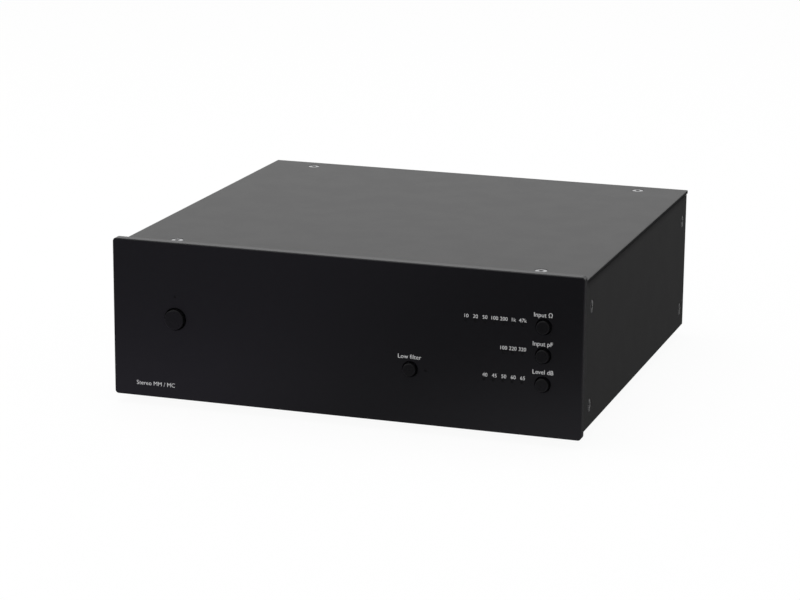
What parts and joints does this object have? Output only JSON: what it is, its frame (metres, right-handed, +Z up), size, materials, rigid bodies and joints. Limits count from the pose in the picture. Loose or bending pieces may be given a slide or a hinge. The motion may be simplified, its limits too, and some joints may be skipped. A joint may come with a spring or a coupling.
{
  "type": "phono preamp",
  "caption": "Flat box preamp with a thick front panel, round push buttons beside rows of pinhole indicators, screwed cover plates and rear sockets",
  "frame": {"origin": "on the surface the feet stand on, under the middle of the overall width and depth", "axes": "+X to the right seen from the front, +Y to the rear, +Z up"},
  "size_m": [0.206, 0.2018, 0.072],
  "materials": {
    "front_panel": "satin",
    "case_plates": "satin",
    "frame_sheet": "satin",
    "black_screws": "satin",
    "zinc_screws": "satin",
    "foot_rubber": "matte",
    "button_caps": "satin",
    "switch_plastic": "matte",
    "plunger_plastic": "matte",
    "light_pipe": "gloss",
    "diode_body": "gloss",
    "board": "satin",
    "spacer_metal": "satin",
    "ribbon": "matte",
    "capacitor_can": "gloss",
    "film_capacitor": "gloss",
    "chip_plastic": "matte",
    "relay_case": "gloss",
    "sink_metal": "satin",
    "crystal_can": "satin",
    "coil_core": "matte",
    "socket_plastic": "satin",
    "gold_plate": "polished",
    "left_insulator": "satin",
    "right_insulator": "satin",
    "nickel_plate": "satin"
  },
  "bodies": {
    "case": {"front_panel": "front_panel", "front_frame": "frame_sheet", "rear_panel": "frame_sheet", "top_cover": "case_plates", "bottom_plate": "case_plates", "left_side_panel": "case_plates", "right_side_panel": "case_plates", "top_cover_screws": "black_screws", "bottom_plate_screws": "black_screws", "side_panel_screws": "black_screws", "front_panel_screws": "zinc_screws", "rubber_feet": "foot_rubber", "foot_screws": "zinc_screws", "power_switch_housing": "switch_plastic", "push_switch_housings": "switch_plastic", "light_pipes": "light_pipe", "light_pipe_holders": "switch_plastic", "indicator_diodes": "diode_body", "control_board": "board", "control_board_spacers": "spacer_metal", "control_board_screws": "zinc_screws", "ribbon_cable": "ribbon", "ribbon_headers": "switch_plastic", "main_board": "board", "main_board_spacers": "spacer_metal", "main_board_screws": "zinc_screws", "electrolytic_capacitors": "capacitor_can", "film_capacitors": "film_capacitor", "amplifier_chips": "chip_plastic", "switching_relays": "relay_case", "voltage_regulators": "chip_plastic", "regulator_screws": "zinc_screws", "heat_sink": "sink_metal", "microcontroller": "chip_plastic", "converter_chip": "chip_plastic", "crystal": "crystal_can", "filter_coils": "coil_core", "socket_housings": "socket_plastic", "socket_shells": "gold_plate", "left_channel_insulators": "left_insulator", "right_channel_insulators": "right_insulator", "socket_contacts": "gold_plate", "socket_screws": "black_screws", "ground_bush": "spacer_metal", "data_socket_shell": "nickel_plate", "data_socket_insert": "left_insulator", "supply_socket_body": "socket_plastic", "supply_socket_pin": "nickel_plate"},
    "power_key": {"power_button": "button_caps", "power_plunger": "plunger_plastic"},
    "low_cut_key": {"low_cut_button": "button_caps", "low_cut_plunger": "plunger_plastic"},
    "load_ohm_key": {"load_ohm_button": "button_caps", "load_ohm_plunger": "plunger_plastic"},
    "load_picofarad_key": {"load_picofarad_button": "button_caps", "load_picofarad_plunger": "plunger_plastic"},
    "gain_key": {"gain_button": "button_caps", "gain_plunger": "plunger_plastic"},
    "ground_washer": {"ground_washer": "gold_plate"},
    "ground_screw": {"ground_thumb_screw": "gold_plate"}
  },
  "joints": [
    {"name": "power_press", "type": "slide", "parent": "case", "child": "power_key", "axis": [0, 1, 0], "range_m": [0, 0.0015], "stiffness_N_per_m": 1200},
    {"name": "low_cut_press", "type": "slide", "parent": "case", "child": "low_cut_key", "axis": [0, 1, 0], "range_m": [0, 0.0005], "stiffness_N_per_m": 1000},
    {"name": "load_ohm_press", "type": "slide", "parent": "case", "child": "load_ohm_key", "axis": [0, 1, 0], "range_m": [0, 0.0005], "stiffness_N_per_m": 1000},
    {"name": "load_picofarad_press", "type": "slide", "parent": "case", "child": "load_picofarad_key", "axis": [0, 1, 0], "range_m": [0, 0.0005], "stiffness_N_per_m": 1000},
    {"name": "gain_press", "type": "slide", "parent": "case", "child": "gain_key", "axis": [0, 1, 0], "range_m": [0, 0.0005], "stiffness_N_per_m": 1000},
    {"name": "ground_washer_lift", "type": "slide", "parent": "case", "child": "ground_washer", "axis": [0, 1, 0], "range_m": [0, 0.0028]},
    {"name": "ground_screw_turn", "type": "hinge", "parent": "ground_washer", "child": "ground_screw", "pos_m": [0.046, 0.0949, 0.0318], "axis": [0, 1, 0], "range_deg": [0, 1440]}
  ],
  "couplings": [
    {"joint": "ground_screw_turn", "follows": "ground_washer_lift", "rad_per_m": 8976}
  ]
}
